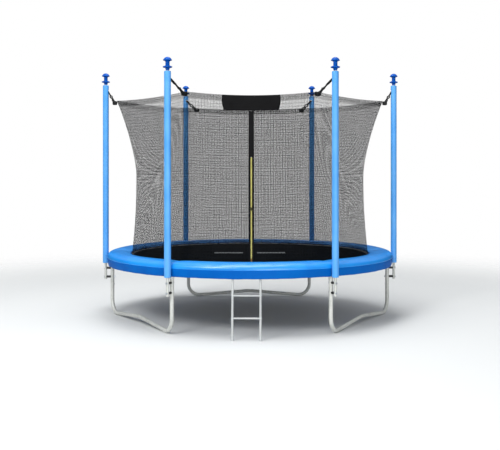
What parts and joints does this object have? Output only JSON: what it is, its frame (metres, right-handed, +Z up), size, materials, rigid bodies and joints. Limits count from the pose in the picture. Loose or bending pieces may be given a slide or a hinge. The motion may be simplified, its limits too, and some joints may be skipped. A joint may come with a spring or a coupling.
{
  "type": "trampoline",
  "caption": "Round garden trampoline with padded net poles, safety net with zip door, spring pad and a hook-on ladder.",
  "frame": {"origin": "on the ground under the middle of the jumping mat", "axes": "+Z up, -Y out of the front with the ladder and the zip door, +X to the right seen from the front"},
  "size_m": [2.5958, 2.5383, 2.098],
  "materials": {
    "galvanised_steel": "satin",
    "zinc_fastener": "satin",
    "pole_foam": "matt",
    "pole_sleeve": "satin",
    "cap_plastic": "gloss",
    "saddle_plastic": "matt",
    "mat_fabric": "matt",
    "webbing": "matt",
    "pad_cover": "satin",
    "pad_foam": "matt",
    "net_mesh": "matt",
    "door_fabric": "matt",
    "zip_coil": "satin",
    "zip_metal": "satin",
    "zip_black": "satin",
    "elastic": "matt",
    "clip_plastic": "matt",
    "rubber_foot": "matt"
  },
  "bodies": {
    "frame": {"rim_segment_1": "galvanised_steel", "leg_upright_1": "galvanised_steel", "pole_lower_1": "galvanised_steel", "pole_sleeve_1": "pole_sleeve", "rim_segment_2": "galvanised_steel", "leg_upright_2": "galvanised_steel", "pole_lower_2": "galvanised_steel", "pole_sleeve_2": "pole_sleeve", "rim_segment_3": "galvanised_steel", "leg_upright_3": "galvanised_steel", "pole_lower_3": "galvanised_steel", "pole_sleeve_3": "pole_sleeve", "rim_segment_4": "galvanised_steel", "leg_upright_4": "galvanised_steel", "pole_lower_4": "galvanised_steel", "pole_sleeve_4": "pole_sleeve", "rim_segment_5": "galvanised_steel", "leg_upright_5": "galvanised_steel", "pole_lower_5": "galvanised_steel", "pole_sleeve_5": "pole_sleeve", "rim_segment_6": "galvanised_steel", "leg_upright_6": "galvanised_steel", "pole_lower_6": "galvanised_steel", "pole_sleeve_6": "pole_sleeve", "w_leg_left": "galvanised_steel", "w_leg_right": "galvanised_steel", "w_leg_back": "galvanised_steel", "pole_upper_tubes": "galvanised_steel", "pole_foams": "pole_foam", "pole_caps": "cap_plastic", "pole_spacers": "saddle_plastic", "pole_bolts": "zinc_fastener", "frame_screws": "zinc_fastener", "springs": "zinc_fastener", "pad_cover": "pad_cover", "pad_foam": "pad_foam", "pad_skirt": "pad_cover", "pad_ties": "webbing", "net_side_panels": "net_mesh", "net_front_halves": "net_mesh", "net_hems": "net_mesh", "header_panel": "door_fabric", "door_flap": "door_fabric", "zip_coil": "zip_coil", "net_straps": "elastic", "corner_clips": "clip_plastic", "strap_toggles": "clip_plastic", "net_ties": "webbing"},
    "mat": {"jumping_mat": "mat_fabric", "mat_edge_webbing": "webbing", "v_rings": "zinc_fastener"},
    "ladder": {"ladder_rail_left": "galvanised_steel", "ladder_rail_right": "galvanised_steel", "ladder_rungs": "galvanised_steel", "ladder_screws": "zinc_fastener", "ladder_feet": "rubber_foot"},
    "slider_lower": {"zip_slider_lower": "zip_metal"},
    "slider_upper": {"zip_slider_upper": "zip_black"},
    "tab_lower": {"pull_tab_lower": "zip_metal"},
    "tab_upper": {"pull_tab_upper": "zip_black"}
  },
  "joints": [
    {"name": "mat_bounce", "type": "slide", "parent": "frame", "child": "mat", "axis": [0, 0, 1], "range_m": [-0.12, 0], "stiffness_N_per_m": 10000, "springref_m": 0.02, "deforming": ["springs"]},
    {"name": "ladder_swing", "type": "hinge", "parent": "frame", "child": "ladder", "pos_m": [-0.03768, -1.19899, 0.515], "axis": [-0.9995, 0.0314, 0], "range_deg": [0, 5]},
    {"name": "zip_lower_slide", "type": "slide", "parent": "frame", "child": "slider_lower", "axis": [0, 0.1098, 0.994], "range_m": [0, 0.36]},
    {"name": "zip_upper_slide", "type": "slide", "parent": "frame", "child": "slider_upper", "axis": [0, 0.1098, 0.994], "range_m": [0, 0.375]},
    {"name": "pull_lower_turn", "type": "hinge", "parent": "slider_lower", "child": "tab_lower", "pos_m": [0, -1.0255, 0.57141], "axis": [-1, 0, 0], "range_deg": [0, 150]},
    {"name": "pull_upper_turn", "type": "hinge", "parent": "slider_upper", "child": "tab_upper", "pos_m": [0, -0.98279, 0.95805], "axis": [-1, 0, 0], "range_deg": [0, 150]}
  ]
}
